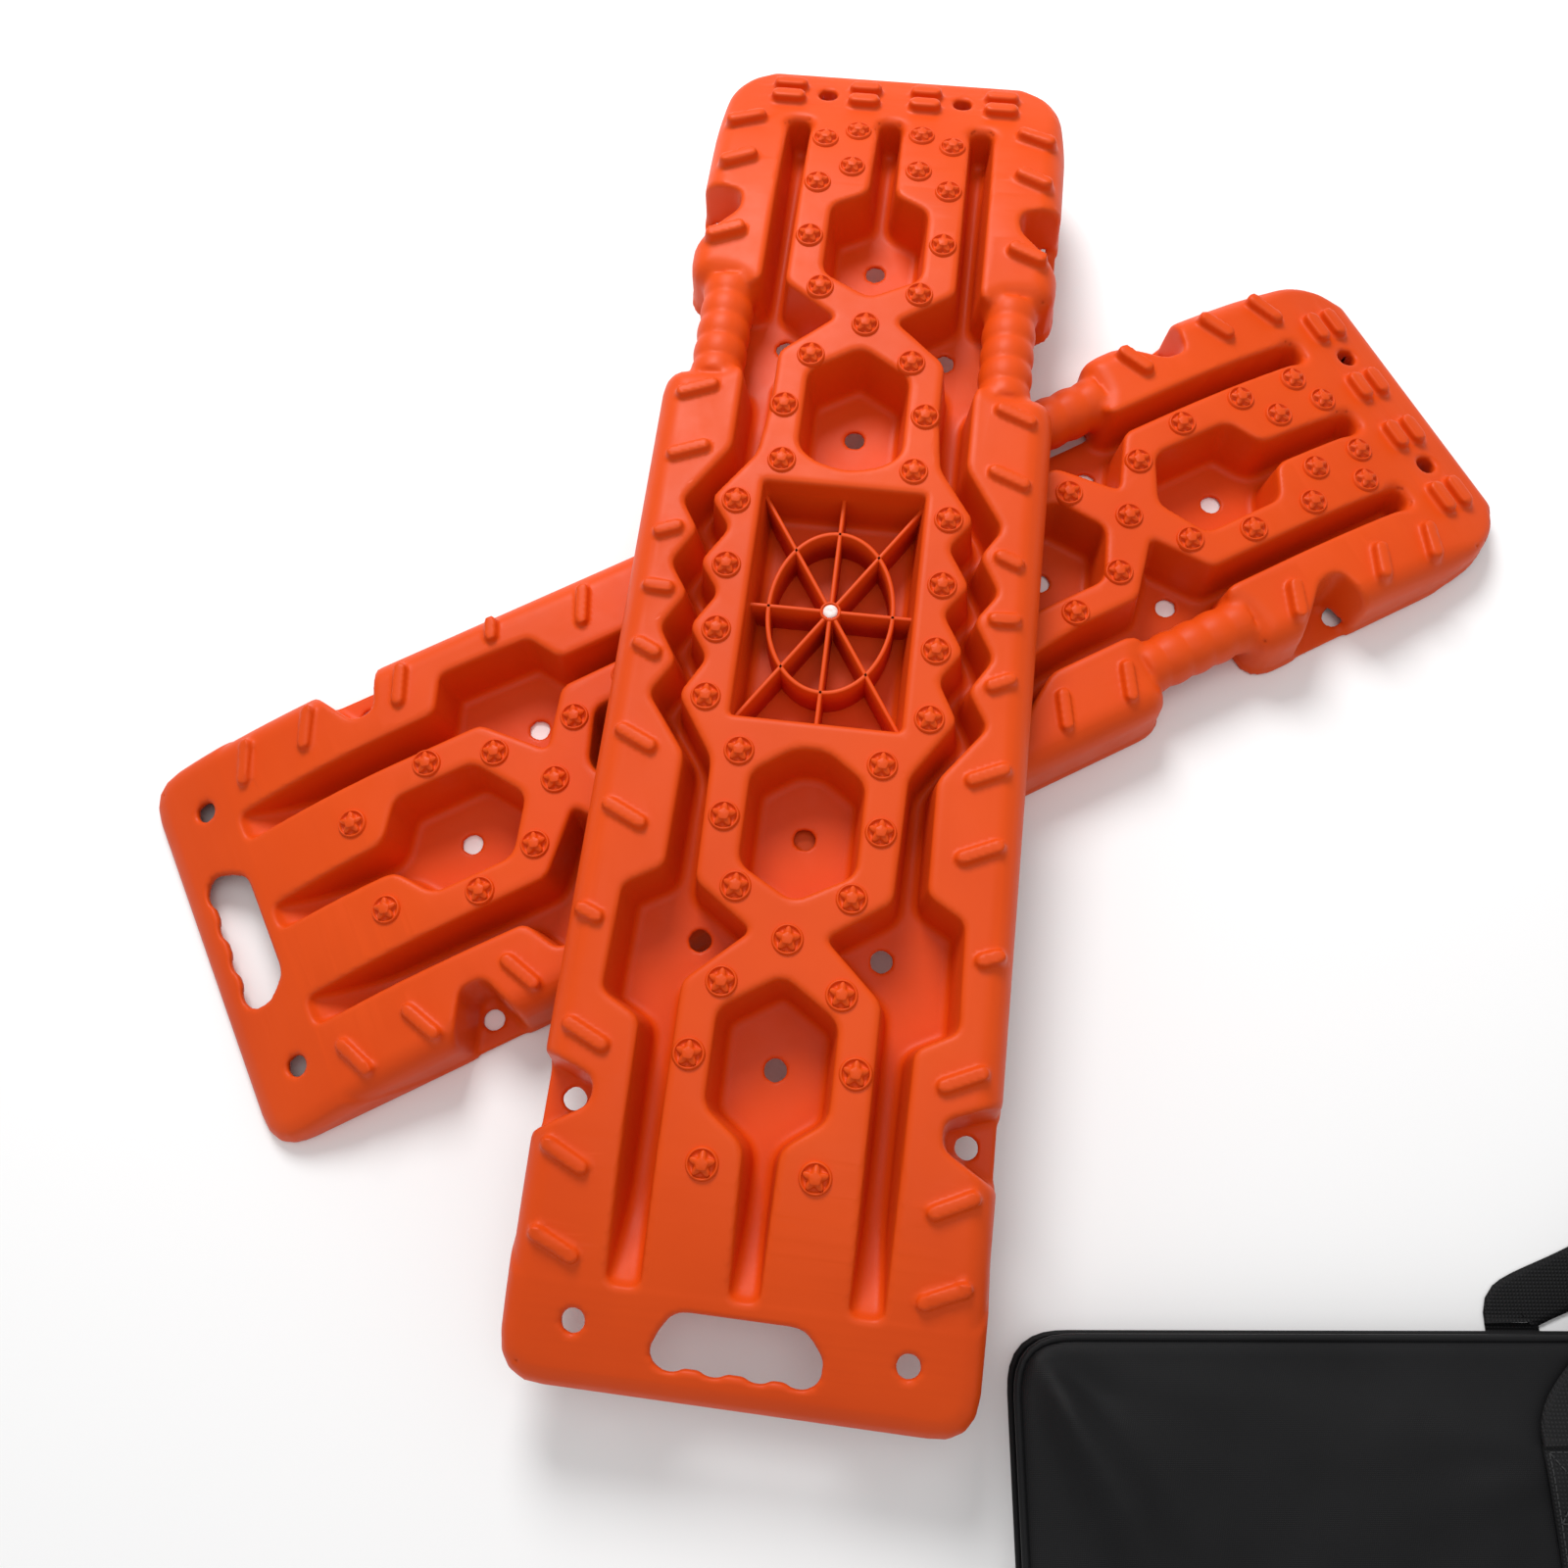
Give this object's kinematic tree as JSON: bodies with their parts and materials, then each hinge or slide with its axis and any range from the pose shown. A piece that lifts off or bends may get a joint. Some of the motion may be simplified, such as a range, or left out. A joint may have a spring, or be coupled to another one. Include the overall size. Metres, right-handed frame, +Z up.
{
  "type": "tire traction mats",
  "caption": "Pair of thin-walled orange traction mats with studs, cleats, ribbed grips and hand slots, laid crosswise, with a zipped fabric carry bag.",
  "frame": {"origin": "middle of the set's bounding box, on the ground that the lower mat and the bag lie on", "axes": "+Z up; +Y along the upper mat, from its hand slot to its toe; +X to the right across it"},
  "size_m": [1.824, 1.3486, 0.1223],
  "materials": {
    "mat_orange": "satin moulded nylon or polypropylene with a fine mould texture",
    "bag_fabric": "coated woven polyester",
    "webbing": "ribbed polypropylene webbing",
    "zip_tape": "woven zip tape with a nylon coil",
    "zip_metal": "black enamelled zinc"
  },
  "bodies": {
    "lower_mat": {"lower_mat": "mat_orange"},
    "upper_mat": {"upper_mat": "mat_orange"},
    "carry_bag": {"bag_shell": "bag_fabric", "bag_piping_front": "bag_fabric", "bag_piping_back": "bag_fabric", "webbing_band_left": "webbing", "webbing_band_right": "webbing", "zipper_tape": "zip_tape"},
    "front_handle": {"handle_front": "webbing"},
    "back_handle": {"handle_back": "webbing"},
    "zip_slider": {"zipper_slider": "zip_metal"},
    "zip_puller": {"zipper_puller": "zip_metal"}
  },
  "joints": [
    {"name": "upper_mat_lift", "type": "slide", "parent": "lower_mat", "child": "upper_mat", "axis": [0, 0, 1], "range_m": [0, 0.3]},
    {"name": "bag_lift", "type": "slide", "parent": "lower_mat", "child": "carry_bag", "axis": [0, 0, 1], "range_m": [0, 0.3]},
    {"name": "front_handle_swing", "type": "hinge", "parent": "carry_bag", "child": "front_handle", "pos_m": [0.3343, -0.3291, 0.0587], "axis": [0.9922, 0.1245, 0], "range_deg": [0, 90]},
    {"name": "back_handle_swing", "type": "hinge", "parent": "carry_bag", "child": "back_handle", "pos_m": [0.3258, -0.2616, 0.0011], "axis": [0.9922, 0.1245, 0], "range_deg": [0, 90]},
    {"name": "zip_run", "type": "slide", "parent": "carry_bag", "child": "zip_slider", "axis": [-0.9922, -0.1245, 0], "range_m": [0, 1.016]},
    {"name": "puller_flip", "type": "hinge", "parent": "zip_slider", "child": "zip_puller", "pos_m": [0.8299, -0.1988, 0.0228], "axis": [0, 0, 1], "range_deg": [0, 170]}
  ],
  "couplings": [
    {"joint": "back_handle_swing", "follows": "front_handle_swing", "ratio": 1}
  ]
}
